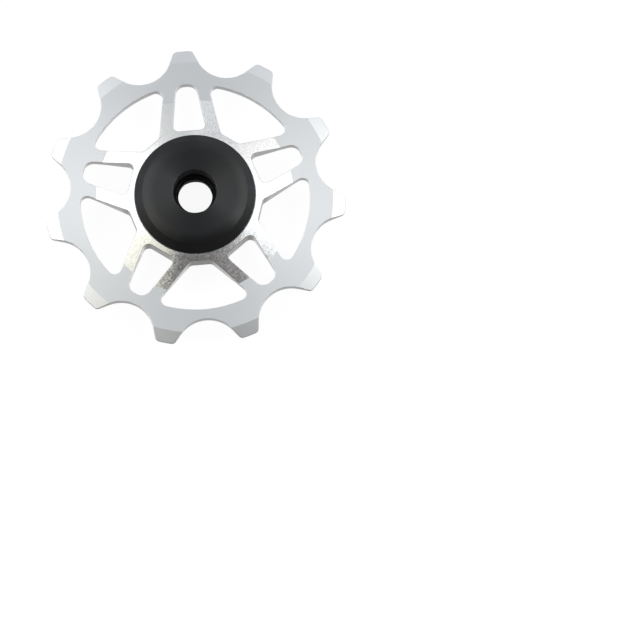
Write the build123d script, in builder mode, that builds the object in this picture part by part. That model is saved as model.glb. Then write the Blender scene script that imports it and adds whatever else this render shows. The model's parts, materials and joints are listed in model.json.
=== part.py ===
from build123d import *
from math import cos, radians, sin, sqrt, tan
import os

# Derailleur jockey wheel: a toothed aluminium wheel that turns on a sealed ball bearing between two caps.
# The wheel's axis is +Z and the origin is the middle of the axle bore. One tooth points along +Y.
# Lengths are millimetres and angles are degrees.

# Chain and teeth
chain_pitch = 12.7
roller_diameter = 7.75
tooth_count = 11
tooth_height = 3.84
gap_clearance = 1.025
flank_angle = 22.5
tip_corner_radius = 0.75
tip_thickness = 0.55
tip_bevel_width = 1.86

# Rim, web and hub of the toothed wheel
rim_thickness = 1.5
rim_face_width = 5.85
rim_width = 1.47
hub_land_margin = 0.1
seat_lead_in = 0.2

# Windows and spokes
window_pairs = 5
narrow_hub_wall = 1.85
wide_hub_wall = 2.02
narrow_window_width = 5.22
spoke_width = 1.85
spoke_lean = 8.8
narrow_inner_corner = 0.9
wide_outer_corner = 1.05
wide_inner_corner = 0.9

# Sealed ball bearing
bearing_bore = 8.0
bearing_diameter = 16.0
bearing_width = 5.0
ring_edge = 0.2
ball_count = 9
ball_diameter = 2.381
race_conformity = 0.52
ball_clearance = 0.03
race_depth = 0.42
bearing_seat_clearance = 0.01
bearing_stand_out = 0.5

# Seals and cage of the bearing
seal_inset = 0.6
seal_thickness = 0.38
seal_lip_clearance = 0.05
seal_seat_depth = 0.25
seal_bead_depth = 0.1
seal_fit = 0.02
inner_ring_step = 0.25
cage_ring_clearance = 0.15
cage_ball_clearance = 0.06
cage_back_wall = 0.35
horn_height = 0.75
horn_notch_width = 0.6
horn_notch_depth = 0.6

# Caps
cap_overhang = 0.99
cap_edge_height = 0.4
cap_outer_bevel_width = 1.15
cap_outer_bevel_drop = 1.17
cap_inner_bevel_width = 1.2
cap_inner_bevel_drop = 0.48
cap_hub_gap = 0.15
cap_bearing_gap = 0.25
cap_recess_gap = 0.25
cap_shoulder_width = 0.9
cap_stub_clearance = 0.01
cap_stub_gap = 0.1
stub_edge = 0.15
mouth_diameter = 6.4
mouth_edge = 0.1
axle_bore = 5.1
lip_height = 0.8
lip_edge = 0.25

# How far cutting shapes run past the material
overrun = 0.5

# Radii that follow from the sizes above
half_tooth_angle = 180 / tooth_count
pitch_radius = chain_pitch / 2 / sin(radians(half_tooth_angle))
root_radius = pitch_radius - roller_diameter / 2
gap_radius = roller_diameter / 2 + gap_clearance
tip_radius = root_radius + tooth_height
bevel_start_radius = tip_radius - tip_bevel_width
cone_radius = bevel_start_radius - rim_face_width
window_outer_radius = root_radius - rim_width
seat_radius = bearing_diameter / 2 + bearing_seat_clearance
narrow_inner_radius = bearing_diameter / 2 + narrow_hub_wall
wide_inner_radius = bearing_diameter / 2 + wide_hub_wall
cap_radius = bearing_diameter / 2 + cap_overhang
hub_land_radius = cap_radius + hub_land_margin
ball_radius = ball_diameter / 2
pocket_radius = ball_radius + cage_ball_clearance
ball_circle = (bearing_bore + bearing_diameter) / 4
groove_radius = ball_diameter * race_conformity
outer_groove_bottom = ball_circle + ball_radius + ball_clearance
inner_groove_bottom = ball_circle - ball_radius - ball_clearance
outer_land_radius = outer_groove_bottom - race_depth
inner_land_radius = inner_groove_bottom + race_depth

# Heights above the wheel's middle plane
bearing_face = bearing_width / 2
seal_back = bearing_face - seal_inset
seal_front = seal_back + seal_thickness
hub_face = bearing_face - bearing_stand_out
skirt_end = hub_face + cap_hub_gap
outer_bevel_end = skirt_end + cap_edge_height
inner_bevel_end = outer_bevel_end + cap_outer_bevel_drop
cap_face = inner_bevel_end + cap_inner_bevel_drop


def both_sides(points):
    """The points of one side of the middle plane, then their mirror images in reverse."""
    return points + [(radius, -height) for radius, height in reversed(points)]


def save(part, name):
    """Label a finished piece and write it to its own file."""
    part.label = name
    export_step(part, f"parts/{name}.step")


os.makedirs("parts", exist_ok=True)

# One gap between two teeth, lying on +Y: a round bottom with a straight flank on each side
gap_half_angle = half_tooth_angle + flank_angle
gap_centre = root_radius + gap_radius
flank_start = gap_centre - gap_radius * sin(radians(gap_half_angle))
flank_length = (tip_radius + overrun - flank_start) / cos(radians(gap_half_angle))
with BuildSketch() as tooth_gap:
    with BuildLine():
        bottom = CenterArc((0, gap_centre), gap_radius, 180 + gap_half_angle, 180 - 2 * gap_half_angle)
        left = PolarLine(bottom @ 0, flank_length, 90 + gap_half_angle)
        right = PolarLine(bottom @ 1, flank_length, 90 - gap_half_angle)
        Line(left @ 1, right @ 1)
    make_face()

# The toothed outline: a disc with a gap on each side of the tooth on +Y, and so on around
with BuildSketch() as tooth_outline:
    Circle(tip_radius)
    with PolarLocations(0, tooth_count, start_angle=half_tooth_angle):
        add(tooth_gap.sketch, mode=Mode.SUBTRACT)
    fillet(tooth_outline.vertices().group_by(SortBy.DISTANCE)[-1], tip_corner_radius)

# The hub between the windows: flat towards each narrow and each wide window
half_window_angle = 180 / window_pairs
with BuildSketch() as hub_outline:
    RegularPolygon(narrow_inner_radius, window_pairs, major_radius=False, rotation=90 + half_window_angle)
    RegularPolygon(wide_inner_radius, window_pairs, major_radius=False, rotation=90, mode=Mode.INTERSECT)

# The ring between hub and rim, parted by pairs of spokes that lean towards each other as they go out
lean = radians(spoke_lean)
spoke_foot_x = narrow_window_width / 2 + spoke_width * (cos(lean) / 2 + sin(lean))
spoke_foot_y = narrow_inner_radius + spoke_width * (sin(lean) / 2 - cos(lean))
with BuildSketch() as all_windows:
    Circle(window_outer_radius)
    add(hub_outline.sketch, mode=Mode.SUBTRACT)
    with PolarLocations(0, window_pairs):
        for side in (-1, 1):
            with Locations((side * spoke_foot_x, spoke_foot_y)):
                Rectangle(
                    spoke_width,
                    window_outer_radius,
                    rotation=side * spoke_lean,
                    align=(Align.CENTER, Align.MIN),
                    mode=Mode.SUBTRACT,
                )

# A narrow window lies between the two spokes of a pair and has a round outer end
narrow_end_width = narrow_window_width - 2 * tan(lean) * (window_outer_radius - narrow_inner_radius)
with BuildSketch() as narrow_windows:
    add(all_windows.faces().sort_by(SortBy.AREA)[:window_pairs])
    fillet(narrow_windows.vertices().group_by(SortBy.DISTANCE)[-1], narrow_end_width / 2)
    fillet(narrow_windows.vertices().group_by(SortBy.DISTANCE)[0], narrow_inner_corner)

# A wide window lies between two pairs and follows the rim
with BuildSketch() as wide_windows:
    add(all_windows.faces().sort_by(SortBy.AREA)[window_pairs:])
    fillet(wide_windows.vertices().group_by(SortBy.DISTANCE)[-1], wide_outer_corner)
    fillet(wide_windows.vertices().group_by(SortBy.DISTANCE)[0], wide_inner_corner)

# Toothed wheel: a turned disc with bevelled rim and coned web, cut to the tooth outline and the windows
bevel_slope = (rim_thickness - tip_thickness) / 2 / tip_bevel_width
with BuildPart() as toothed_wheel:
    with BuildSketch(Plane.XZ):
        with BuildLine():
            Polyline(
                both_sides(
                    [
                        (seat_radius, hub_face - seat_lead_in),
                        (seat_radius + seat_lead_in, hub_face),
                        (hub_land_radius, hub_face),
                        (cone_radius, rim_thickness / 2),
                        (bevel_start_radius, rim_thickness / 2),
                        (tip_radius + overrun, tip_thickness / 2 - bevel_slope * overrun),
                    ]
                ),
                close=True,
            )
        make_face()
    revolve(axis=Axis.Z)
    extrude(tooth_outline.sketch, bearing_width, both=True, mode=Mode.INTERSECT)
    extrude(narrow_windows.sketch, bearing_width, both=True, mode=Mode.SUBTRACT)
    extrude(wide_windows.sketch, bearing_width, both=True, mode=Mode.SUBTRACT)
save(toothed_wheel.part, "toothed_wheel")

# Bearing outer ring: raceway inside, and at each face a groove that holds a seal
seal_seat_radius = outer_land_radius + seal_seat_depth
outer_race_centre = outer_groove_bottom - groove_radius
outer_race_edge = sqrt(groove_radius**2 - (outer_land_radius - outer_race_centre) ** 2)
with BuildPart() as bearing_outer_ring:
    with BuildSketch(Plane.XZ):
        with BuildLine():
            Polyline(
                both_sides(
                    [
                        (outer_land_radius, outer_race_edge),
                        (outer_land_radius, seal_back),
                        (seal_seat_radius, seal_back),
                        (seal_seat_radius, seal_front + seal_fit),
                        (seal_seat_radius - seal_bead_depth, seal_front + seal_fit),
                        (seal_seat_radius - seal_bead_depth, bearing_face),
                        (bearing_diameter / 2 - ring_edge, bearing_face),
                        (bearing_diameter / 2, bearing_face - ring_edge),
                    ]
                )
            )
            ThreePointArc(
                (outer_land_radius, -outer_race_edge),
                (outer_groove_bottom, 0),
                (outer_land_radius, outer_race_edge),
            )
        make_face()
    revolve(axis=Axis.Z)
save(bearing_outer_ring.part, "bearing_outer_ring")

# Bearing inner ring: raceway outside, and at each face a step that the seal's lip runs over
lip_land_radius = inner_land_radius - inner_ring_step
inner_race_centre = inner_groove_bottom + groove_radius
inner_race_edge = sqrt(groove_radius**2 - (inner_race_centre - inner_land_radius) ** 2)
with BuildPart() as bearing_inner_ring:
    with BuildSketch(Plane.XZ):
        with BuildLine():
            Polyline(
                both_sides(
                    [
                        (inner_land_radius, inner_race_edge),
                        (inner_land_radius, seal_back - seal_lip_clearance),
                        (lip_land_radius, seal_back - seal_lip_clearance),
                        (lip_land_radius, bearing_face),
                        (bearing_bore / 2 + ring_edge, bearing_face),
                        (bearing_bore / 2, bearing_face - ring_edge),
                    ]
                )
            )
            ThreePointArc(
                (inner_land_radius, -inner_race_edge),
                (inner_groove_bottom, 0),
                (inner_land_radius, inner_race_edge),
            )
        make_face()
    revolve(axis=Axis.Z)
save(bearing_inner_ring.part, "bearing_inner_ring")

# Balls, the first one on +Y
ball_step = 360 / ball_count
for number in range(ball_count):
    angle = radians(90 + number * ball_step)
    with BuildPart() as ball:
        with Locations((ball_circle * cos(angle), ball_circle * sin(angle))):
            Sphere(ball_radius)
    save(ball.part, f"ball_{number + 1}")

# Cage: a ring behind the balls with round pockets that open to the front between springy horns
cage_back = pocket_radius + cage_back_wall
with BuildPart() as ball_cage:
    with BuildSketch(Plane.XY.offset(-cage_back)):
        Circle(outer_land_radius - cage_ring_clearance)
        Circle(inner_land_radius + cage_ring_clearance, mode=Mode.SUBTRACT)
    extrude(amount=cage_back + horn_height)
    with PolarLocations(ball_circle, ball_count, start_angle=90):
        Cylinder(pocket_radius, ball_diameter, rotation=(0, 90, 0), mode=Mode.SUBTRACT)
    with BuildSketch(Plane.XY.offset(horn_height)):
        with PolarLocations(ball_circle, ball_count, start_angle=90 + ball_step / 2):
            Rectangle(ball_diameter, horn_notch_width)
    extrude(amount=-horn_notch_depth, mode=Mode.SUBTRACT)
save(ball_cage.part, "ball_cage")

# Seals: rubber discs held in the outer ring, with a tapered lip over the inner ring
seal_lip_radius = lip_land_radius + seal_lip_clearance
with BuildPart() as front_seal:
    with BuildSketch(Plane.XZ):
        with BuildLine():
            Polyline(
                (seal_lip_radius, seal_back),
                (seal_seat_radius - seal_fit, seal_back),
                (seal_seat_radius - seal_fit, seal_front),
                (seal_lip_radius + seal_thickness, seal_front),
                (seal_lip_radius, seal_back + seal_thickness / 2),
                close=True,
            )
        make_face()
    revolve(axis=Axis.Z)
save(front_seal.part, "front_seal")

with BuildPart() as rear_seal:
    mirror(front_seal.part, about=Plane.XY)
save(rear_seal.part, "rear_seal")

# Caps: a bevelled flange over the hub, and a hollow stub in the inner ring with a narrow lip for the bolt
lip_top = cap_stub_gap + lip_height
outer_bevel_radius = cap_radius - cap_outer_bevel_width
cap_face_radius = outer_bevel_radius - cap_inner_bevel_width
skirt_radius = bearing_diameter / 2 + cap_bearing_gap
shoulder_radius = bearing_bore / 2 + cap_shoulder_width
stub_radius = bearing_bore / 2 - cap_stub_clearance
with BuildPart() as front_cap:
    with BuildSketch(Plane.XZ):
        with BuildLine():
            Polyline(
                (axle_bore / 2, cap_stub_gap),
                (axle_bore / 2, lip_top - lip_edge),
                (axle_bore / 2 + lip_edge, lip_top),
                (mouth_diameter / 2, lip_top),
                (mouth_diameter / 2, cap_face - mouth_edge),
                (mouth_diameter / 2 + mouth_edge, cap_face),
                (cap_face_radius, cap_face),
                (outer_bevel_radius, inner_bevel_end),
                (cap_radius, outer_bevel_end),
                (cap_radius, skirt_end),
                (skirt_radius, skirt_end),
                (skirt_radius, bearing_face + cap_recess_gap),
                (shoulder_radius, bearing_face + cap_recess_gap),
                (shoulder_radius, bearing_face),
                (stub_radius, bearing_face),
                (stub_radius, cap_stub_gap + stub_edge),
                (stub_radius - stub_edge, cap_stub_gap),
                close=True,
            )
        make_face()
    revolve(axis=Axis.Z)
save(front_cap.part, "front_cap")

with BuildPart() as rear_cap:
    mirror(front_cap.part, about=Plane.XY)
save(rear_cap.part, "rear_cap")
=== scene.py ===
import json
import math

import bmesh
import bpy
from mathutils import Matrix, Vector
from mathutils.geometry import delaunay_2d_cdt


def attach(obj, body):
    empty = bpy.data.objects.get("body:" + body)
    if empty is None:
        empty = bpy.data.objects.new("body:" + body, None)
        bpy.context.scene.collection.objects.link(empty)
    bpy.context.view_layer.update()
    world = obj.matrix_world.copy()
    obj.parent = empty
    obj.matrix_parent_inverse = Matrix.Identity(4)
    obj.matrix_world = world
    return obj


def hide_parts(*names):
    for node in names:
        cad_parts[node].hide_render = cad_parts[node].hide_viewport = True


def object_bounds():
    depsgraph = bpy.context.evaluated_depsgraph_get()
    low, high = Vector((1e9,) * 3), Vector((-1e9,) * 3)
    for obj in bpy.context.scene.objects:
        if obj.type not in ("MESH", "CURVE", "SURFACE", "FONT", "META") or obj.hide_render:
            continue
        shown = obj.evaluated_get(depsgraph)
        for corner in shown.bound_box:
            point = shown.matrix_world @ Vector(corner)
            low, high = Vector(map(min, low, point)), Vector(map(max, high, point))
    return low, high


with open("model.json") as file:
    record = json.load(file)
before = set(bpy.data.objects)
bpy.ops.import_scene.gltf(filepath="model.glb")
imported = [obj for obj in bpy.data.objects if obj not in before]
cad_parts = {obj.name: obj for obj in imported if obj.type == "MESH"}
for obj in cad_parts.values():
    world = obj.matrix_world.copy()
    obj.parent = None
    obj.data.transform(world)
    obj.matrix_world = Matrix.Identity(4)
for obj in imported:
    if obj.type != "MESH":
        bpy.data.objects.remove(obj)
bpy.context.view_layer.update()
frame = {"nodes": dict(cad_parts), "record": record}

MM = 0.001

# Camera, as found from the photo: focal length in pixels of a 640 pixel frame, tilts of the wheel's axis
# against the line of sight, the wheel's turn in the picture, its distance and the place of its middle
FRAME_PIXELS = 640
FOCAL_PIXELS = 3000
TILT_UP_DEG = 9.6
TILT_SIDE_DEG = -1.35
TURN_DEG = 5.2
DISTANCE = 449.3 * MM
MIDDLE_PIXEL = (195.3, 197.28)
SENSOR_WIDTH = 36.0
CLIP_START = 0.01
CLIP_END = 20.0

# Toothed wheel, in millimetres. The chain sets the radius at the foot of the teeth. From the hub outwards
# the upper face is a flat land, a cone, a flat rim and a bevel at the tooth tips. Heights are from the
# middle plane.
CHAIN_PITCH = 12.7
ROLLER_DIAMETER = 7.75
TOOTH_COUNT = 11
TOOTH_DEPTH = 3.84
TIP_BEVEL_WIDTH = 1.86
RIM_FACE_WIDTH = 5.85
PITCH_RADIUS = CHAIN_PITCH / 2 / math.sin(math.pi / TOOTH_COUNT)
TIP_RADIUS = PITCH_RADIUS - ROLLER_DIAMETER / 2 + TOOTH_DEPTH
BEVEL_RADIUS = TIP_RADIUS - TIP_BEVEL_WIDTH
CONE_RADIUS = BEVEL_RADIUS - RIM_FACE_WIDTH
HUB_LAND_RADIUS = 9.09
HUB_FACE = 2.0
RIM_FACE = 0.75
TIP_FACE = 0.275

# Edges of the wheel: the outline and the windows are broken by a small round, made in steps. The bearing
# seat, the one opening that lies within the seat limit, has a flat lead-in.
EDGE_BREAK = 0.07
EDGE_STEPS = 3
SEAT_LIMIT = 8.6
SEAT_LEAD_IN = 0.2

# Mesh of the wheel's faces: least distance of outline points, points round a crease, and rings of points
# that lie between
POINT_SPACING = 0.03
CREASE_POINTS = 240
GRID_STEP = 0.5
GRID_RINGS = 25
GRID_POINTS = 150
# Distances below which points are one: in the solid and at its cut, in metres, and in the upper face, in
# millimetres
SOLID_MERGE = 1e-7
CUT_MERGE = 1e-8
FACE_MERGE = 1e-6

# The cap's profile from the foot of its bore to its stub, in millimetres: radius, height, edge radius
MOUTH_RADIUS = 3.20
CAP_PROFILE = (
    (2.55, 0.10, 0.00),
    (2.55, 0.65, 0.03),
    (2.80, 0.90, 0.03),
    (MOUTH_RADIUS, 0.90, 0.00),
    (MOUTH_RADIUS, 4.10, 0.03),
    (3.30, 4.20, 0.14),
    (6.64, 4.20, 4.00),
    (7.84, 3.72, 0.50),
    (8.99, 2.55, 0.12),
    (8.99, 2.15, 0.06),
    (8.25, 2.15, 0.06),
    (8.25, 2.75, 0.00),
    (4.90, 2.75, 0.00),
    (4.90, 2.50, 0.03),
    (3.99, 2.50, 0.00),
    (3.99, 0.25, 0.03),
    (3.84, 0.10, 0.03),
)
CAP_SEGMENTS = 192
CAP_ROUND_STEPS = 8
# Spots of the profile that agree to so many digits share a ring of points
RING_DIGITS = 5
# What counts as within the mouth, in millimetres, and as upright or level, by the normal's smaller part
MOUTH_SLACK = 0.01
SQUARE_SLACK = 0.01

# Places of the two finishes on a piece: on its faces, and on its walls or in its mouth
ON_FACE, ON_WALL = 0, 1

# Light, by the angle from straight overhead in degrees. Along the gap between the two soft boxes the
# colours run from the camera's side to the far side.
GAP_COLOURS = (
    (-90, (0.06, 0.06, 0.06)),
    (-40, (0.02, 0.02, 0.02)),
    (-18, (0.02, 0.02, 0.025)),
    (-8, (0.360, 0.335, 0.322)),
    (2, (1.500, 1.590, 1.640)),
    (12, (0.010, 0.024, 0.090)),
    (29, (0.004, 0.014, 0.060)),
    (38, (0.985, 1.000, 1.000)),
    (48, (0.700, 0.720, 0.740)),
    (90, (0.400, 0.410, 0.430)),
)
# A box has an edge towards the gap, which moves by the lean for each degree towards the far side and is as
# wide as soft says. Its colours run outwards. Towards the camera and on the far side it fades to a colour
# of its own, and the left box has a tint on the camera's side.
LEFT_BOX = {
    "edge": 8.985,
    "lean": -0.106,
    "soft": 2.153,
    "colours": (
        (10, (0.705, 0.718, 0.710)),
        (17, (0.810, 0.818, 0.806)),
        (24, (1.380, 1.390, 1.375)),
        (44, (2.700, 2.800, 2.900)),
        (64, (0.700, 0.725, 0.750)),
    ),
    "near_tint": (1.035, 1.0, 0.87),
    "near": (-33.1, -17.8),
    "near_colour": (0.05, 0.05, 0.05),
    "far": (37.0, 53.0),
    "far_colour": (0.46, 0.51, 0.58),
}
RIGHT_BOX = {
    "edge": 21.1,
    "lean": -0.288,
    "soft": 3.776,
    "colours": (
        (10, (0.920, 0.915, 0.935)),
        (18, (1.000, 0.995, 0.990)),
        (24, (1.180, 1.172, 1.150)),
        (44, (2.700, 2.800, 2.750)),
        (64, (0.700, 0.725, 0.725)),
    ),
    "near": (-27.6, -6.5),
    "near_colour": (0.128, 0.134, 0.134),
    "far": (37.9, 46.0),
    "far_colour": (0.720, 0.770, 0.820),
}
# Edges lean as far as this angle, and the tint ends between these two
LEAN_LIMIT = 40.0
TINT_REACH = (-12.0, 6.0)
# A small lamp in front of the right box: its direction, how far from that its light fades out, its colour
LAMP_SIDE, LAMP_FORE = 38.0, -10.0
LAMP_FADE = (3.0, 8.0)
LAMP_COLOUR = (4.6, 4.6, 4.6)
# What metal mirrors from under the table, by the height of the direction: dim all round, lighter in the
# middle, and straight below a glow that falls off towards the camera. The camera sees a pale backdrop.
HORIZON_FADE = (-0.05, 0.05)
BELOW_FADE = (-0.9, -0.1)
BELOW_MIDDLE = (0.46, 0.46, 0.455)
BELOW_RIM = (0.34, 0.34, 0.345)
GLOW_FADE = (-0.97, -0.88)
GLOW_REACH = (-0.20, 0.02)
GLOW_NEAR = (0.31, 0.31, 0.307)
GLOW_FAR = (1.08, 1.08, 1.07)
BACKDROP = (0.93, 0.93, 0.935)

# Floor: half its width and its gap under the part in metres, and its finish
FLOOR_HALF = 3.0
FLOOR_GAP = 0.01 * MM
FLOOR_COLOURS = ((0.125, 0.125, 0.125), (0.135, 0.135, 0.135))
FLOOR_CLOUDS = 30.0
FLOOR_ROUGHNESS = 0.9
FLOOR_GLOW = 0.925

# Finishes: each has a dark and a light colour, mixed by clouds of a scale for metres. Clouds are noise,
# soft or harsh, and most of their values lie in the range.
CLOUD_DETAIL = 3.0
SOFT_CLOUDS = 0.5
HARSH_CLOUDS = 0.6
CLOUD_RANGE = (0.3, 0.7)
# Turning marks are noise in rings, as fine across and around as a finish says. A quarter turn lays the
# long way of a highlight across them.
MARKS_DETAIL = 3.0
MARKS_HARSHNESS = 0.6
ACROSS_MARKS = 0.25
# Depth of all bumps but the silver's turning marks
BUMP_DEPTH = 0.01 * MM

SILVER_COLOURS = ((0.85, 0.855, 0.86), (0.885, 0.89, 0.895))
SILVER_CLOUDS = 140.0
SILVER_MARKS = (9.0, 1.5)
SILVER_ANISOTROPY = 0.47
RIM_ROUGHNESS = 0.40
WEB_ROUGHNESS_CHANGE = -0.262
TIP_ROUGHNESS_CHANGE = 0.026
SILVER_MARKS_ROUGHNESS = 0.04
SILVER_MARKS_STRENGTH = 0.5
SILVER_MARKS_DEPTH = 0.0015 * MM
CREASE_HALF_WIDTH = 0.05
FACET_SCALE = 6200.0
FACET_TILT = 0.045

WALL_COLOURS = ((0.86, 0.865, 0.875), (0.93, 0.935, 0.945))
# Painted shade on the walls beside the hub: darker, warmer colours that fade to the walls' own between the
# two radii, in millimetres
HUB_WALL_PAINTED_SHADE_COLOURS = ((0.47, 0.467, 0.455), (0.59, 0.587, 0.572))
HUB_WALL_PAINTED_SHADE_FADE = (10.2, 11.4)
WALL_CLOUDS = 900.0
WALL_ROUGHNESS = (0.30, 0.42)
WALL_BUMP = 0.1

BLACK_COLOURS = ((0.002, 0.002, 0.0022), (0.004, 0.004, 0.0043))
BLACK_CLOUDS = 260.0
BLACK_MARKS = (14.0, 3.0)
BLACK_ANISOTROPY = 0.934
BLACK_ROUGHNESS = 0.315
BLACK_MARKS_ROUGHNESS = 0.06
BLACK_MARKS_STRENGTH = 0.15
BLACK_IOR = 1.57
MOUTH_EDGE_FADE = (3.27, 3.34)
MOUTH_EDGE_ROUGHNESS_CHANGE = -0.20

BORE_CLOUDS = 700.0
BORE_ROUGHNESS = (0.55, 0.7)
BORE_SPECULAR = 0.18
BORE_BUMP = 0.2

# Finishes inside the bearing: dark and light colour, metallic, roughness from and to, scale of the clouds
BEARING_FINISHES = {
    "bearing_steel": ((0.52, 0.53, 0.55), (0.66, 0.67, 0.69), 1.0, (0.16, 0.28), 500.0),
    "ball_ceramic": ((0.030, 0.030, 0.033), (0.05, 0.05, 0.055), 0.0, (0.06, 0.12), 900.0),
    "cage_plastic": ((0.62, 0.55, 0.40), (0.72, 0.66, 0.50), 0.0, (0.45, 0.6), 900.0),
    "seal_rubber": ((0.020, 0.020, 0.021), (0.036, 0.036, 0.038), 0.0, (0.6, 0.75), 900.0),
}
BEARING_CLOUD_DETAIL = 4.0
BEARING_BUMP = 0.1


def rgba(colour):
    return (*colour, 1)


class Nodes:
    """Short forms for building one node tree."""

    def __init__(self, tree):
        self.tree = tree
        tree.nodes.clear()

    def add(self, kind, **settings):
        node = self.tree.nodes.new(kind)
        for name, value in settings.items():
            setattr(node, name, value)
        return node

    def put(self, socket, value):
        """Links a socket to another one, or sets its value."""
        if isinstance(value, bpy.types.NodeSocket):
            self.tree.links.new(value, socket)
        else:
            socket.default_value = value

    def calc(self, operation, a, b=None):
        node = self.add("ShaderNodeMath", operation=operation)
        self.put(node.inputs[0], a)
        if b is not None:
            self.put(node.inputs[1], b)
        return node.outputs[0]

    def ramp(self, value, low, high, to_low=0.0, to_high=1.0, smooth=True):
        node = self.add("ShaderNodeMapRange", interpolation_type="SMOOTHSTEP" if smooth else "LINEAR")
        for socket, x in zip(node.inputs, (value, low, high, to_low, to_high)):
            self.put(socket, x)
        return node.outputs[0]

    def mix(self, factor, a, b, blend="MIX"):
        """Mixes two colours. The node's colours are its inputs 6 and 7 and its output 2."""
        node = self.add("ShaderNodeMix", data_type="RGBA", blend_type=blend)
        self.put(node.inputs[0], factor)
        self.put(node.inputs[6], a)
        self.put(node.inputs[7], b)
        return node.outputs[2]

    def noise(self, vector, scale, detail=2.0, roughness=0.5):
        node = self.add("ShaderNodeTexNoise")
        self.put(node.inputs["Vector"], vector)
        self.put(node.inputs["Scale"], scale)
        self.put(node.inputs["Detail"], detail)
        self.put(node.inputs["Roughness"], roughness)
        return node.outputs[0]

    def vector(self, x, y, z):
        node = self.add("ShaderNodeCombineXYZ")
        for socket, value in zip(node.inputs, (x, y, z)):
            self.put(socket, value)
        return node.outputs[0]

    def vectors(self, operation, a, b=None, scale=None):
        node = self.add("ShaderNodeVectorMath", operation=operation)
        self.put(node.inputs[0], a)
        if b is not None:
            self.put(node.inputs[1], b)
        if scale is not None:
            self.put(node.inputs["Scale"], scale)
        return node.outputs["Vector"]

    def along(self, vector, direction):
        """How far a vector reaches along a direction."""
        node = self.add("ShaderNodeVectorMath", operation="DOT_PRODUCT")
        self.put(node.inputs[0], vector)
        self.put(node.inputs[1], direction)
        return node.outputs["Value"]

    def degrees(self, a, b):
        """The angle whose tangent is a over b."""
        return self.calc("MULTIPLY", self.calc("ARCTAN2", a, b), 180 / math.pi)

    def colours(self, angle, stops):
        """The colour at an angle, between stops that each hold an angle and a colour."""
        node = self.add("ShaderNodeValToRGB")
        elements = node.color_ramp.elements
        while len(elements) < len(stops):
            elements.new(0.5)
        low, high = stops[0][0], stops[-1][0]
        for element, (stop, colour) in zip(elements, stops):
            element.position = (stop - low) / (high - low)
            element.color = rgba(colour)
        self.put(node.inputs[0], self.ramp(angle, low, high, smooth=False))
        return node.outputs[0]

    def bump(self, height, strength, distance, normal=None):
        node = self.add("ShaderNodeBump")
        if normal is not None:
            self.put(node.inputs["Normal"], normal)
        self.put(node.inputs["Strength"], strength)
        self.put(node.inputs["Distance"], distance)
        self.put(node.inputs["Height"], height)
        return node.outputs[0]

    def place(self):
        """The place of a point in its piece's own frame, in metres."""
        return self.add("ShaderNodeTexCoord").outputs["Object"]

    def polar(self, where):
        """A place's radius in millimetres, and the cosine and sine of its angle round the axis."""
        parts = self.add("ShaderNodeSeparateXYZ")
        self.put(parts.inputs[0], where)
        x, y, _ = parts.outputs
        square = self.calc("ADD", self.calc("MULTIPLY", x, x), self.calc("MULTIPLY", y, y))
        metres = self.calc("SQRT", square)
        radius = self.calc("MULTIPLY", metres, 1 / MM)
        return radius, self.calc("DIVIDE", x, metres), self.calc("DIVIDE", y, metres)

    def marks(self, polar, across, around):
        """Turning marks: noise that is fine across the rings and long around them."""
        radius, cosine, sine = polar
        spot = self.vector(
            self.calc("MULTIPLY", radius, across),
            self.calc("MULTIPLY", cosine, around),
            self.calc("MULTIPLY", sine, around),
        )
        return self.noise(spot, 1.0, MARKS_DETAIL, MARKS_HARSHNESS)

    def cloudy(self, cloud, colours):
        dark, light = colours
        return self.mix(cloud, rgba(dark), rgba(light))

    def principled(self, **values):
        """The surface's shader, with its sockets named by their words joined with underscores."""
        shader = self.add("ShaderNodeBsdfPrincipled")
        for name, value in values.items():
            self.put(shader.inputs[name.replace("_", " ")], value)
        out = self.add("ShaderNodeOutputMaterial")
        self.put(out.inputs["Surface"], shader.outputs[0])
        return shader

    def tangent(self):
        """The direction of the turning marks round the axis."""
        return self.add("ShaderNodeTangent", direction_type="RADIAL", axis="Z").outputs[0]


def new_material(name):
    material = bpy.data.materials.new(name)
    material.use_nodes = True
    return material, Nodes(material.node_tree)


def silver_material():
    """Satin turned aluminium: even and soft on the rim, sharper and with a fine grain on the coned web."""
    material, n = new_material("silver_alloy")
    where = n.place()
    polar = n.polar(where)
    radius = polar[0]
    web = n.ramp(radius, CONE_RADIUS - CREASE_HALF_WIDTH, CONE_RADIUS + CREASE_HALF_WIDTH, 1.0, 0.0)
    tip = n.ramp(radius, BEVEL_RADIUS - CREASE_HALF_WIDTH, BEVEL_RADIUS + CREASE_HALF_WIDTH)
    marks = n.marks(polar, *SILVER_MARKS)
    cloud = n.noise(where, SILVER_CLOUDS, CLOUD_DETAIL, SOFT_CLOUDS)
    web_change = n.calc("MULTIPLY", web, WEB_ROUGHNESS_CHANGE)
    tip_change = n.calc("MULTIPLY", tip, TIP_ROUGHNESS_CHANGE)
    rough = n.calc("ADD", web_change, tip_change)
    rough = n.calc("ADD", rough, n.calc("MULTIPLY", marks, SILVER_MARKS_ROUGHNESS))
    rough = n.calc("ADD", rough, RIM_ROUGHNESS)
    # The web is a field of small facets, each tilted its own way
    facets = n.add("ShaderNodeTexVoronoi")
    n.put(facets.inputs["Vector"], where)
    n.put(facets.inputs["Scale"], FACET_SCALE)
    tilt = n.vectors("SUBTRACT", facets.outputs["Color"], (0.5, 0.5, 0.5))
    tilt = n.vectors("SCALE", tilt, scale=n.calc("MULTIPLY", web, FACET_TILT))
    normal = n.add("ShaderNodeNewGeometry").outputs["Normal"]
    normal = n.vectors("NORMALIZE", n.vectors("ADD", normal, tilt))
    n.principled(
        Base_Color=n.cloudy(cloud, SILVER_COLOURS),
        Metallic=1.0,
        Roughness=rough,
        Anisotropic=SILVER_ANISOTROPY,
        Anisotropic_Rotation=ACROSS_MARKS,
        Tangent=n.tangent(),
        Normal=n.bump(marks, SILVER_MARKS_STRENGTH, SILVER_MARKS_DEPTH, normal),
    )
    return material


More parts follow.
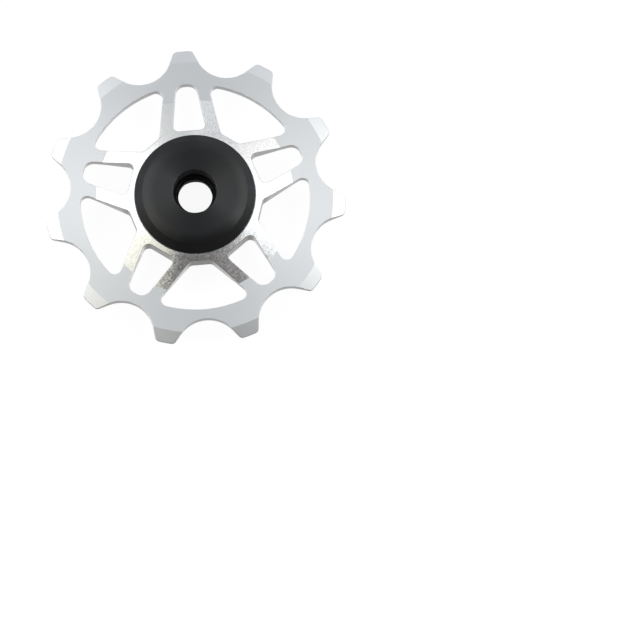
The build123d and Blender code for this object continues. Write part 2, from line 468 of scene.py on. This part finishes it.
def wall_material():
    """Milled walls and broken edges: even, with faint marks of the cutter, and made darker beside the hub
    by painted shade.
    """
    material, n = new_material("silver_milled")
    where = n.place()
    radius = n.polar(where)[0]
    cloud = n.noise(where, WALL_CLOUDS, CLOUD_DETAIL, HARSH_CLOUDS)
    # Painted shade: the walls' colour darkens towards the hub
    painted_hub_shade = n.ramp(radius, *HUB_WALL_PAINTED_SHADE_FADE, 1.0, 0.0)
    n.principled(
        Base_Color=n.mix(painted_hub_shade, n.cloudy(cloud, WALL_COLOURS), n.cloudy(cloud, HUB_WALL_PAINTED_SHADE_COLOURS)),
        Metallic=1.0,
        Roughness=n.ramp(cloud, *CLOUD_RANGE, *WALL_ROUGHNESS),
        Normal=n.bump(cloud, WALL_BUMP, BUMP_DEPTH),
    )
    return material


def black_material():
    """Black anodised aluminium with fine turning rings, and glossier inside the edge of its mouth."""
    material, n = new_material("black_alloy")
    where = n.place()
    polar = n.polar(where)
    marks = n.marks(polar, *BLACK_MARKS)
    cloud = n.noise(where, BLACK_CLOUDS, CLOUD_DETAIL, SOFT_CLOUDS)
    mouth = n.ramp(polar[0], *MOUTH_EDGE_FADE, 1.0, 0.0)
    marks_change = n.calc("MULTIPLY", marks, BLACK_MARKS_ROUGHNESS)
    mouth_change = n.calc("MULTIPLY", mouth, MOUTH_EDGE_ROUGHNESS_CHANGE)
    rough = n.calc("ADD", n.calc("ADD", marks_change, mouth_change), BLACK_ROUGHNESS)
    n.principled(
        Base_Color=n.cloudy(cloud, BLACK_COLOURS),
        Metallic=0.0,
        Roughness=rough,
        IOR=BLACK_IOR,
        Anisotropic=BLACK_ANISOTROPY,
        Anisotropic_Rotation=ACROSS_MARKS,
        Tangent=n.tangent(),
        Normal=n.bump(marks, BLACK_MARKS_STRENGTH, BUMP_DEPTH),
    )
    return material


def bore_material():
    """The caps' mouths and bores: the same black, left matt by the drill."""
    material, n = new_material("black_matt")
    cloud = n.noise(n.place(), BORE_CLOUDS, CLOUD_DETAIL, HARSH_CLOUDS)
    n.principled(
        Base_Color=n.cloudy(cloud, BLACK_COLOURS),
        Metallic=0.0,
        Roughness=n.ramp(cloud, *CLOUD_RANGE, *BORE_ROUGHNESS),
        Specular_IOR_Level=BORE_SPECULAR,
        Normal=n.bump(cloud, BORE_BUMP, BUMP_DEPTH),
    )
    return material


def bearing_material(name, dark, light, metallic, roughness, scale):
    """A plain finish with cloudy variation in colour and gloss."""
    material, n = new_material(name)
    cloud = n.noise(n.place(), scale, BEARING_CLOUD_DETAIL, HARSH_CLOUDS)
    n.principled(
        Base_Color=n.cloudy(cloud, (dark, light)),
        Metallic=metallic,
        Roughness=n.ramp(cloud, *CLOUD_RANGE, *roughness),
        Normal=n.bump(cloud, BEARING_BUMP, BUMP_DEPTH),
    )
    return material


def make_camera():
    """The camera at the photo's viewing angle, with the wheel's middle on its pixel."""
    tilt, side, turn = (math.radians(a) for a in (TILT_UP_DEG, TILT_SIDE_DEG, TURN_DEG))
    # The part's own axes, as seen by axes that point right, down and ahead
    own_z = Vector((
        -math.sin(side),
        -math.sin(tilt) * math.cos(side),
        -math.cos(tilt) * math.cos(side),
    ))
    right = Vector((1, 0, 0))
    right = (right - right.dot(own_z) * own_z).normalized()
    up = own_z.cross(right)
    own_x = math.cos(turn) * right + math.sin(turn) * up
    own_y = math.cos(turn) * up - math.sin(turn) * right
    seen = Matrix((own_x, own_y, own_z)).transposed()
    aside, down = ((pixel - FRAME_PIXELS / 2) / FOCAL_PIXELS for pixel in MIDDLE_PIXEL)
    middle = Vector((aside, down, 1)) * DISTANCE
    place = -(seen.transposed() @ middle)
    # The camera's own axes point right, up and back
    looks = Matrix((seen[0], -seen[1], -seen[2])).transposed()
    data = bpy.data.cameras.new("camera")
    data.sensor_width = SENSOR_WIDTH
    data.lens = SENSOR_WIDTH * FOCAL_PIXELS / FRAME_PIXELS
    data.clip_start = CLIP_START
    data.clip_end = CLIP_END
    camera = bpy.data.objects.new("camera", data)
    bpy.context.scene.collection.objects.link(camera)
    camera.matrix_world = Matrix.Translation(place) @ looks.to_4x4()
    bpy.context.scene.camera = camera


def floor_material():
    """A white that glows evenly, so that shadows stay faint. From below, it lets the underside be seen."""
    material, n = new_material("floor_white")
    cloud = n.noise(n.place(), FLOOR_CLOUDS)
    shader = n.principled(
        Base_Color=n.cloudy(cloud, FLOOR_COLOURS),
        Roughness=FLOOR_ROUGHNESS,
        Emission_Color=(1, 1, 1, 1),
        Emission_Strength=FLOOR_GLOW,
        Specular_IOR_Level=0.0,
    )
    open_below = n.add("ShaderNodeMixShader")
    n.put(open_below.inputs[0], n.add("ShaderNodeNewGeometry").outputs["Backfacing"])
    n.put(open_below.inputs[1], shader.outputs[0])
    n.put(open_below.inputs[2], n.add("ShaderNodeBsdfTransparent").outputs[0])
    n.put(n.tree.nodes["Material Output"].inputs["Surface"], open_below.outputs[0])
    return material


def make_floor():
    """A white lit table under the part. Its glow isn't mirrored in the metal."""
    low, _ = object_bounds()
    corners = [(x * FLOOR_HALF, y * FLOOR_HALF, 0) for x, y in ((-1, -1), (1, -1), (1, 1), (-1, 1))]
    mesh = bpy.data.meshes.new("floor")
    mesh.from_pydata(corners, [], [(0, 1, 2, 3)])
    mesh.materials.append(floor_material())
    floor = bpy.data.objects.new("floor", mesh)
    floor.location.z = low.z - FLOOR_GAP
    floor.visible_glossy = False
    bpy.context.scene.collection.objects.link(floor)


def photo_axes():
    """Directions in the part's own frame that point right and up in the picture, along the floor."""
    turn = math.radians(TURN_DEG)
    right = Vector((math.cos(turn), -math.sin(turn), 0))
    up = Vector((math.sin(turn), math.cos(turn), 0))
    return right, up


def soft_box(n, behind, box, outwards, fore):
    """The light of a soft box over what is behind it, by the angles outwards and to the far side."""
    leaning = n.calc("MINIMUM", n.calc("MAXIMUM", fore, -LEAN_LIMIT), LEAN_LIMIT)
    past_edge = n.calc("SUBTRACT", outwards, n.calc("MULTIPLY", leaning, box["lean"]))
    half_soft = box["soft"] / 2
    inside = n.ramp(past_edge, box["edge"] - half_soft, box["edge"] + half_soft)
    light = n.colours(outwards, box["colours"])
    if "near_tint" in box:
        tinted = n.mix(1.0, light, rgba(box["near_tint"]), "MULTIPLY")
        light = n.mix(n.ramp(fore, *TINT_REACH), tinted, light)
    light = n.mix(n.ramp(fore, *box["near"]), rgba(box["near_colour"]), light)
    light = n.mix(n.ramp(fore, *box["far"]), light, rgba(box["far_colour"]))
    return n.mix(inside, behind, light)


def make_world():
    """Soft boxes to the left and right, and a dim gap between them that the camera looks through."""
    world = bpy.data.worlds.new("soft_boxes")
    bpy.context.scene.world = world
    world.use_nodes = True
    n = Nodes(world.node_tree)
    where = n.add("ShaderNodeTexCoord").outputs["Generated"]
    right, up = photo_axes()
    overhead = Vector((0, 0, 1))
    x, y, z = (n.along(where, axis) for axis in (right, up, overhead))
    side = n.degrees(x, z)
    fore = n.degrees(y, z)
    colour = n.colours(fore, GAP_COLOURS)
    for box, sign in ((LEFT_BOX, -1.0), (RIGHT_BOX, 1.0)):
        colour = soft_box(n, colour, box, n.calc("MULTIPLY", side, sign), fore)
    lamp_x, lamp_y = (math.tan(math.radians(angle)) for angle in (LAMP_SIDE, LAMP_FORE))
    lamp = (lamp_x * right + lamp_y * up + overhead).normalized()
    beside = n.calc("ARCCOSINE", n.along(where, lamp))
    lamp_fade = n.ramp(beside, *(math.radians(angle) for angle in LAMP_FADE))
    colour = n.mix(lamp_fade, rgba(LAMP_COLOUR), colour)
    below = n.mix(n.ramp(z, *BELOW_FADE), rgba(BELOW_MIDDLE), rgba(BELOW_RIM))
    glow = n.mix(n.ramp(y, *GLOW_REACH, smooth=False), rgba(GLOW_NEAR), rgba(GLOW_FAR))
    below = n.mix(n.ramp(z, *GLOW_FADE), glow, below)
    colour = n.mix(n.ramp(z, *HORIZON_FADE), below, colour)
    seen = n.add("ShaderNodeLightPath").outputs["Is Camera Ray"]
    background = n.add("ShaderNodeBackground")
    n.put(background.inputs["Color"], n.mix(seen, colour, rgba(BACKDROP)))
    out = n.add("ShaderNodeOutputWorld")
    n.put(out.inputs["Surface"], background.outputs[0])


class Shell:
    """Collects faces with their own corner normals and makes one mesh piece of them."""

    def __init__(self):
        self.points, self.faces, self.normals, self.materials = [], [], [], []

    def point(self, x, y, z):
        """Adds a point given in millimetres, and returns its number."""
        self.points.append((x * MM, y * MM, z * MM))
        return len(self.points) - 1

    def face(self, corners, normals, material):
        self.faces.append(tuple(corners))
        self.normals.extend(tuple(normal) for normal in normals)
        self.materials.append(material)

    def face_pair(self, upper, lower, normals, material):
        """Adds a face, and the same one mirrored in the middle plane."""
        mirrored = [(normal.x, normal.y, -normal.z) for normal in normals]
        self.face(upper, normals, material)
        self.face(lower[::-1], mirrored[::-1], material)

    def piece(self, name, materials):
        mesh = bpy.data.meshes.new(name)
        mesh.from_pydata(self.points, [], self.faces)
        for material in materials:
            mesh.materials.append(material)
        mesh.polygons.foreach_set("material_index", self.materials)
        mesh.shade_smooth()
        mesh.normals_split_custom_set(self.normals)
        # The turning marks' tangent comes from the mesh's texture space, so that is centred on the axis
        mesh.use_auto_texspace = False
        mesh.texspace_location = (0, 0, 0)
        mesh.texspace_size = (TIP_RADIUS * MM,) * 3
        made = bpy.data.objects.new(name, mesh)
        bpy.context.scene.collection.objects.link(made)
        return made


def turns(count):
    return [2 * math.pi * k / count for k in range(count)]


def circle(radius, count):
    return [Vector((radius * math.cos(a), radius * math.sin(a))) for a in turns(count)]


def section_loops(node):
    """Closed outlines of a solid's cut at the middle plane, as lists of points in millimetres."""
    solid = bmesh.new()
    solid.from_mesh(node.data)
    bmesh.ops.remove_doubles(solid, verts=solid.verts, dist=SOLID_MERGE)
    cut = bmesh.ops.bisect_plane(
        solid,
        geom=solid.verts[:] + solid.edges[:] + solid.faces[:],
        plane_co=(0, 0, 0),
        plane_no=(0, 0, 1),
        dist=CUT_MERGE,
    )
    beside = {}
    for edge in cut["geom_cut"]:
        if isinstance(edge, bmesh.types.BMEdge):
            a, b = edge.verts
            beside.setdefault(a, []).append(b)
            beside.setdefault(b, []).append(a)
    loops = []
    while beside:
        first = next(iter(beside))
        here = first
        loop = []
        while here in beside:
            loop.append(Vector((here.co.x, here.co.y)) / MM)
            around = beside.pop(here)
            here = next((vert for vert in around if vert in beside), first)
        loops.append(loop)
    solid.free()
    return loops


def spaced(loop):
    """The loop without points that crowd the one before them."""
    kept = []
    for point in loop:
        if not kept or (point - kept[-1]).length > POINT_SPACING:
            kept.append(point)
    if (kept[0] - kept[-1]).length <= POINT_SPACING:
        kept.pop()
    return kept


def area(loop):
    return sum(a.cross(b) for a, b in zip(loop, loop[1:] + loop[:1])) / 2


def is_seat(loop):
    return max(point.length for point in loop) < SEAT_LIMIT


def outward(loop):
    """Mitred directions out of the material, which lies left of the loop."""
    result = []
    for before, here, after in zip(loop[-1:] + loop[:-1], loop, loop[1:] + loop[:1]):
        into = (here - before).normalized()
        away = (after - here).normalized()
        first = Vector((into.y, -into.x))
        second = Vector((away.y, -away.x))
        result.append((first + second) / (1 + first.dot(second)))
    return result


def wheel_height(radius):
    """Height of the toothed wheel's upper face."""
    if radius < HUB_LAND_RADIUS:
        return HUB_FACE
    if radius < CONE_RADIUS:
        share = (radius - HUB_LAND_RADIUS) / (CONE_RADIUS - HUB_LAND_RADIUS)
        return HUB_FACE + share * (RIM_FACE - HUB_FACE)
    if radius < BEVEL_RADIUS:
        return RIM_FACE
    return RIM_FACE + (radius - BEVEL_RADIUS) / (TIP_RADIUS - BEVEL_RADIUS) * (TIP_FACE - RIM_FACE)


def wheel_slope(radius):
    """How steeply the upper face falls towards the rim."""
    if HUB_LAND_RADIUS < radius < CONE_RADIUS:
        return (HUB_FACE - RIM_FACE) / (CONE_RADIUS - HUB_LAND_RADIUS)
    if radius > BEVEL_RADIUS:
        return (RIM_FACE - TIP_FACE) / (TIP_RADIUS - BEVEL_RADIUS)
    return 0.0


def face_normal(point, slope):
    return Vector((point.x * slope / point.length, point.y * slope / point.length, 1)).normalized()


def edge_normal(top, side, angle):
    """Normal of a rounded edge, at an angle from the face above it towards the wall beside it."""
    return (top * math.cos(angle) + side * math.sin(angle)).normalized()


def face_outlines(node):
    """Outlines of the wheel's upper face inside its broken edges: the teeth first, then each opening."""
    loops = [spaced(loop) for loop in section_loops(node)]
    loops.sort(key=lambda loop: -abs(area(loop)))
    outlines = []
    for number, loop in enumerate(loops):
        if (area(loop) > 0) != (number == 0):
            loop.reverse()
        inset = SEAT_LEAD_IN if is_seat(loop) else EDGE_BREAK
        outlines.append([point - inset * out for point, out in zip(loop, outward(loop))])
    return outlines


def face_triangles(outlines):
    """The upper face between the outlines: its points, and triangles that keep the profile's creases."""
    points, edges, faces = [], [], []

    def ring(members):
        start = len(points)
        points.extend(members)
        numbers = list(range(start, len(points)))
        edges.extend(zip(numbers, numbers[1:] + numbers[:1]))
        return numbers

    for outline in outlines:
        numbers = ring(outline)
        faces.append(numbers[::-1] if faces else numbers)
    for radius in (HUB_LAND_RADIUS, CONE_RADIUS, BEVEL_RADIUS):
        ring(circle(radius, CREASE_POINTS))
    for step in range(1, GRID_RINGS + 1):
        points.extend(circle(HUB_LAND_RADIUS + GRID_STEP * step, GRID_POINTS))
    places, _, triangles, _, _, owners = delaunay_2d_cdt(points, edges, faces, 0, FACE_MERGE)
    # Metal lies within the teeth's outline, which is face 0, and within no opening
    return places, [triangle for triangle, owner in zip(triangles, owners) if list(owner) == [0]]


def border_loops(triangles):
    """Closed loops of the edges that only one triangle has."""
    edges = dict.fromkeys(edge for a, b, c in triangles for edge in ((a, b), (b, c), (c, a)))
    follow = {a: b for a, b in edges if (b, a) not in edges}
    loops = []
    while follow:
        first = next(iter(follow))
        loop = [first]
        here = follow.pop(first)
        while here != first:
            loop.append(here)
            here = follow.pop(here)
        loops.append(loop)
    return loops


def add_wall(shell, line, upper, lower):
    """Breaks the two edges along a border line of the faces, and joins them with a wall."""
    outs = outward(line)
    size, steps = (SEAT_LEAD_IN, 1) if is_seat(line) else (EDGE_BREAK, EDGE_STEPS)
    angles = [step / steps * math.pi / 2 for step in range(steps + 1)]
    rows = [upper]
    mirrored = [lower]
    for angle in angles[1:]:
        row, mirrored_row = [], []
        for point, out in zip(line, outs):
            spot = point + size * math.sin(angle) * out
            z = wheel_height(point.length) - size * (1 - math.cos(angle))
            row.append(shell.point(spot.x, spot.y, z))
            mirrored_row.append(shell.point(spot.x, spot.y, -z))
        rows.append(row)
        mirrored.append(mirrored_row)
    if is_seat(line):
        # The lead-in is flat, so its normal is the same at both its edges
        angles = [math.pi / 4] * 2
    for i in range(len(line)):
        j = (i + 1) % len(line)
        slope = wheel_slope((line[i] + line[j]).length / 2)
        tops = [face_normal(line[k], slope) for k in (i, j)]
        sides = [Vector((*outs[k].normalized(), 0)) for k in (i, j)]
        for step in range(steps):
            ends = ((0, step), (0, step + 1), (1, step + 1), (1, step))
            normals = [edge_normal(tops[end], sides[end], angles[level]) for end, level in ends]
            corners = [rows[level][(i, j)[end]] for end, level in ends]
            mirrored_corners = [mirrored[level][(i, j)[end]] for end, level in ends]
            shell.face_pair(corners, mirrored_corners, normals, ON_WALL)
        corners = (rows[-1][i], mirrored[-1][i], mirrored[-1][j], rows[-1][j])
        shell.face(corners, (sides[0], sides[0], sides[1], sides[1]), ON_WALL)


def make_wheel(node, face_finish, wall_finish):
    """The toothed wheel with its milled edges broken, on the outlines of the CAD solid."""
    places, triangles = face_triangles(face_outlines(node))
    shell = Shell()
    upper, lower = {}, {}
    for number in sorted({number for triangle in triangles for number in triangle}):
        x, y = places[number]
        z = wheel_height(places[number].length)
        upper[number] = shell.point(x, y, z)
        lower[number] = shell.point(x, y, -z)
    for a, b, c in triangles:
        centre = (places[a] + places[b] + places[c]) / 3
        slope = wheel_slope(centre.length)
        normals = [face_normal(places[number], slope) for number in (a, b, c)]
        corners = [upper[number] for number in (a, b, c)]
        mirrored = [lower[number] for number in (a, b, c)]
        shell.face_pair(corners, mirrored, normals, ON_FACE)
    for border in border_loops(triangles):
        line = [places[number] for number in border]
        add_wall(shell, line, [upper[number] for number in border], [lower[number] for number in border])
    return shell.piece("toothed_wheel_finished", (face_finish, wall_finish))


def rounded_spans(profile, steps):
    """Straight and curved stretches of a closed profile: their two ends, with the normal at each."""
    corners = [Vector(corner[:2]) for corner in profile]
    count = len(corners)
    heads, tails, bends = [], [], []
    for k, (here, corner) in enumerate(zip(corners, profile)):
        radius = corner[2]
        into = (here - corners[k - 1]).normalized()
        away = (corners[(k + 1) % count] - here).normalized()
        before = Vector((-into.y, into.x))
        after = Vector((-away.y, away.x))
        turn = math.atan2(before.cross(after), before.dot(after))
        cut = radius * math.tan(abs(turn) / 2)
        tails.append(here - cut * into)
        heads.append(here + cut * away)
        # An outer corner is rounded about a centre inside the material, an inner one from outside it
        reach = radius if turn < 0 else -radius
        centre = tails[k] - before * reach
        bend = []
        if radius:
            for step in range(steps + 1):
                angle = turn * step / steps
                normal = Vector((
                    before.x * math.cos(angle) - before.y * math.sin(angle),
                    before.x * math.sin(angle) + before.y * math.cos(angle),
                ))
                bend.append((centre + normal * reach, normal))
        bends.append(bend)
    spans = []
    for k in range(count):
        j = (k + 1) % count
        along = (tails[j] - heads[k]).normalized()
        normal = Vector((-along.y, along.x))
        spans.append((heads[k], normal, tails[j], normal))
        for start, end in zip(bends[j], bends[j][1:]):
            spans.append((*start, *end))
    return spans


def make_cap(name, side, finish, bore_finish):
    """A cap turned from its profile, with rounded edges. Side is 1 for the front cap, -1 for the rear."""
    shell = Shell()
    around = turns(CAP_SEGMENTS)
    rings = {}

    def turned(flat, a):
        return flat.x * math.cos(a), flat.x * math.sin(a), side * flat.y

    def ring(spot):
        key = (round(spot.x, RING_DIGITS), round(spot.y, RING_DIGITS))
        if key not in rings:
            rings[key] = [shell.point(*turned(spot, a)) for a in around]
        return rings[key]

    for start, start_normal, end, end_normal in rounded_spans(CAP_PROFILE, CAP_ROUND_STEPS):
        first, last = ring(start), ring(end)
        # Walls and ledge of the mouth are matt, its bevelled edges are as bright as the face
        in_mouth = max(start.x, end.x) < MOUTH_RADIUS + MOUTH_SLACK
        square = min(abs(start_normal.x), abs(start_normal.y)) < SQUARE_SLACK
        material = ON_WALL if in_mouth and square else ON_FACE
        for k in range(CAP_SEGMENTS):
            j = (k + 1) % CAP_SEGMENTS
            corners = [first[k], last[k], last[j], first[j]]
            normals = [
                turned(start_normal, around[k]),
                turned(end_normal, around[k]),
                turned(end_normal, around[j]),
                turned(start_normal, around[j]),
            ]
            shell.face(corners[::side], normals[::side], material)
    return shell.piece(name, (finish, bore_finish))


make_camera()
make_floor()
make_world()
bpy.context.scene.view_settings.view_transform = "Standard"

finishes = {"silver_alloy": silver_material(), "black_alloy": black_material()}
for name, values in BEARING_FINISHES.items():
    finishes[name] = bearing_material(name, *values)
for entry in frame["record"]["subparts"]:
    piece = frame["nodes"][entry["node"]]
    piece.data.materials.clear()
    piece.data.materials.append(finishes[entry["material_slot"]])

wheel = make_wheel(frame["nodes"]["toothed_wheel"], finishes["silver_alloy"], wall_material())
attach(wheel, "wheel")
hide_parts("toothed_wheel")
matt_black = bore_material()
for name, side in (("front_cap", 1), ("rear_cap", -1)):
    cap = make_cap(name + "_finished", side, finishes["black_alloy"], matt_black)
    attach(cap, "core")
    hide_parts(name)
